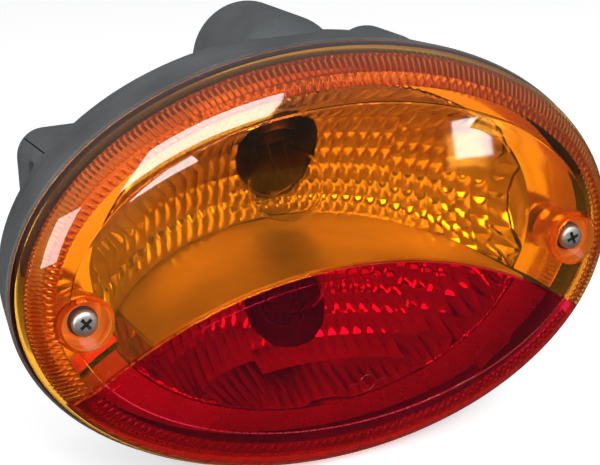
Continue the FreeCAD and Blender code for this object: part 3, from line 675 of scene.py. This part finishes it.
def make_hole_shade(name, place, centre_z):
    """A black tube inside the bulb hole's collar, up to the bowl: painted shade in the hole."""
    outer, inner = HOLE_RADIUS - 0.05 * MM, HOLE_RADIUS - 0.45 * MM
    back, front = -COLLAR_BACK, 12 * MM
    verts, faces = lathe([(inner, back), (outer, back), (outer, front), (inner, front)], place, tube=True)
    tube = loose_mesh("shade_tube", verts, faces)
    outward(tube.data)
    ball = bmesh.new()
    stretch = Matrix.Diagonal((BOWL_WIDE, BOWL_DEEP, BOWL_HIGH, 1))
    bmesh.ops.create_uvsphere(ball, u_segments=96, v_segments=64, radius=1,
                              matrix=Matrix.Translation((0, -BOWL_FRONT, centre_z)) @ stretch)
    tool = loose_mesh("bowl_tool", [], [])
    ball.to_mesh(tool.data)
    ball.free()
    mesh = trimmed(tube, ("DIFFERENCE", tool))
    drop(tool)
    own_piece(name + "_hole_painted_shade", mesh, "housing", "sleeve", BLACK_AND_PAINTED_SHADE)


def squash_springs():
    """Gives each chamber's contact spring a mesh of its own."""
    for name, centre_z, hole_z, side, _ in CHAMBERS:
        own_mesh(frame["nodes"][name + "_contact_spring"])


def turn_to_lens(mesh):
    """Merges facet edges and turns every face towards the lens."""
    work = bmesh.new()
    work.from_mesh(mesh)
    bmesh.ops.remove_doubles(work, verts=work.verts, dist=1e-6)
    for face in work.faces:
        face.normal_update()
        if face.normal.y > 0:
            face.normal_flip()
    work.to_mesh(mesh)
    work.free()


# ---------------------------------------------------------------- screws

def make_screws():
    """Pan-head screws with a cross recess painted black as shade, each stopped at a turn of its own."""
    base = CUP_FLOOR + WASHER_THICK
    steps = 8
    profile = [(SCREW_RADIUS, SCREW_TIP), (SCREW_RADIUS, base), (HEAD_RADIUS * 0.97, base),
               (HEAD_RADIUS, base + 0.3 * MM), (HEAD_RADIUS, base + HEAD_SIDE)]
    for i in range(1, steps + 1):
        turn = math.radians(90) * i / steps
        profile.append((HEAD_RADIUS * (0.1 + 0.9 * math.cos(turn) ** 0.5),
                        base + HEAD_SIDE + (HEAD_RISE - HEAD_SIDE) * math.sin(turn)))
    for side, word, stopped_at in ((-1, "left", 38), (1, "right", 20)):
        place = screw_place(side)
        body = loose_mesh("screw_body", *lathe(profile, place))
        outward(body.data)
        finishes(body.data, STEEL, BLACK_AND_PAINTED_SHADE)
        blades = []
        for degrees in (stopped_at, stopped_at + 90):
            turned = place @ Matrix.Rotation(math.radians(degrees), 4, "Z")
            blade = cross_blade(turned, base + HEAD_RISE)
            outward(blade.data)
            # the recess faces take the black material: painted shade in the recess
            blade.data.polygons.foreach_set("material_index", [1] * len(blade.data.polygons))
            finishes(blade.data, STEEL, BLACK_AND_PAINTED_SHADE)
            blades.append(blade)
        mesh = trimmed(body, *[("DIFFERENCE", blade) for blade in blades])
        drop(*blades)
        piece = own_piece("pan_head_screw_" + word, mesh, "screw_" + word, "screw", STEEL, BLACK_AND_PAINTED_SHADE,
                          sharp=30)
        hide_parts("lens_screw_" + word)


def cross_blade(place, top):
    """One wedge of the cross recess, narrower at its bottom."""
    corners = ((-1, -1), (1, -1), (1, 1), (-1, 1))
    low, high = (1.1 * MM, 0.4 * MM, top - 1.9 * MM), (2.3 * MM, 0.55 * MM, top + 0.3 * MM)
    rings = [[place @ Vector((x * half_long, y * half_wide, along)) for x, y in corners]
             for half_long, half_wide, along in (low, high)]
    return loose_mesh("cross_blade", *closed_rings(rings))


# ---------------------------------------------------------------- studio

def make_floor():
    """A plain pale floor that the lens doesn't mirror."""
    half = 3
    corners = [(-half, -half, 0), (half, -half, 0), (half, half, 0), (-half, half, 0)]
    floor = loose_mesh("studio_floor", corners, [(0, 1, 2, 3)])
    floor.location.z = cad_box[0][2] - 0.5 * MM
    paint, _, shader = plain_material("pale_floor", (0.86, 0.86, 0.87), 0.6)
    shader.inputs["Emission Color"].default_value = (1, 1, 1, 1)
    shader.inputs["Emission Strength"].default_value = 0.42
    floor.data.materials.append(paint)
    floor.visible_glossy = False


def make_world():
    """White behind the lamp; what lights it grades from dark below to bright above."""
    world = bpy.data.worlds.new("studio")
    bpy.context.scene.world = world
    world.use_nodes = True
    nodes, links = world.node_tree.nodes, world.node_tree.links
    seen, lights = nodes["Background"], nodes.new("ShaderNodeBackground")
    mix, ray = nodes.new("ShaderNodeMixShader"), nodes.new("ShaderNodeLightPath")
    seen.inputs["Color"].default_value = lights.inputs["Color"].default_value = (1, 1, 1, 1)
    seen.inputs["Strength"].default_value = 1.0
    where, split = nodes.new("ShaderNodeTexCoord"), nodes.new("ShaderNodeSeparateXYZ")
    grade = nodes.new("ShaderNodeMapRange")
    links.new(where.outputs["Generated"], split.inputs["Vector"])
    links.new(split.outputs["Z"], grade.inputs["Value"])
    for socket, number in (("From Min", -0.1), ("From Max", 0.9), ("To Min", 0.05), ("To Max", 0.7)):
        grade.inputs[socket].default_value = number
    links.new(grade.outputs["Result"], lights.inputs["Strength"])
    links.new(ray.outputs["Is Camera Ray"], mix.inputs["Fac"])
    links.new(lights.outputs["Background"], mix.inputs[1])
    links.new(seen.outputs["Background"], mix.inputs[2])
    links.new(mix.outputs["Shader"], nodes["World Output"].inputs["Surface"])


def make_lamps():
    """Soft boxes whose mirror images are the highlights on the lens."""
    # degrees to the right of straight ahead, degrees up, width, height in metres, watts
    soft_box("key_box", 3, 29, 0.46, 0.40, 9)
    soft_box("side_box", -57, 20, 0.44, 0.42, 6.5)
    soft_box("glint_box", 35, -1, 0.06, 0.10, 0.3)


def soft_box(name, bearing, height, wide, high, power):
    """A rectangular lamp a metre away, aimed at the lens."""
    data = bpy.data.lights.new(name, "AREA")
    data.shape = "RECTANGLE"
    data.size, data.size_y, data.energy = wide, high, power
    lamp = linked(name, data)
    bearing, height = math.radians(bearing), math.radians(height)
    way = Vector((math.sin(bearing) * math.cos(height), -math.cos(bearing) * math.cos(height),
                  math.sin(height)))
    lamp.location = Vector((0, -SEAM, 0)) + way
    lamp.rotation_euler = (-way).to_track_quat("-Z", "Y").to_euler()


def make_camera():
    """Above and to the left of the lens, slightly rolled."""
    away, round_by, above, roll = 0.561, math.radians(24), math.radians(17.6), math.radians(-2.1)
    ahead = Vector((math.sin(round_by) * math.cos(above), math.cos(round_by) * math.cos(above),
                    -math.sin(above)))
    right = Vector((math.cos(round_by), -math.sin(round_by), 0))
    up = right.cross(ahead)
    right, up = (math.cos(roll) * right + math.sin(roll) * up,
                 -math.sin(roll) * right + math.cos(roll) * up)
    data = bpy.data.cameras.new("camera")
    data.lens, data.sensor_width = 108.6, 36
    data.shift_x, data.shift_y = -0.0405, 0.0392
    data.clip_start = 0.01
    camera = linked("camera", data)
    turn = Matrix((right, up, -ahead)).transposed().to_4x4()
    camera.matrix_world = Matrix.Translation(Vector((0, -SEAM, 0)) - ahead * away) @ turn
    bpy.context.scene.camera = camera


bpy.context.scene.view_settings.view_transform = "Standard"
dress_cad_nodes()
make_lens()
make_sight_mark()
make_reflector_faces()
squash_springs()
make_screws()
make_floor()
make_world()
make_lamps()
make_camera()
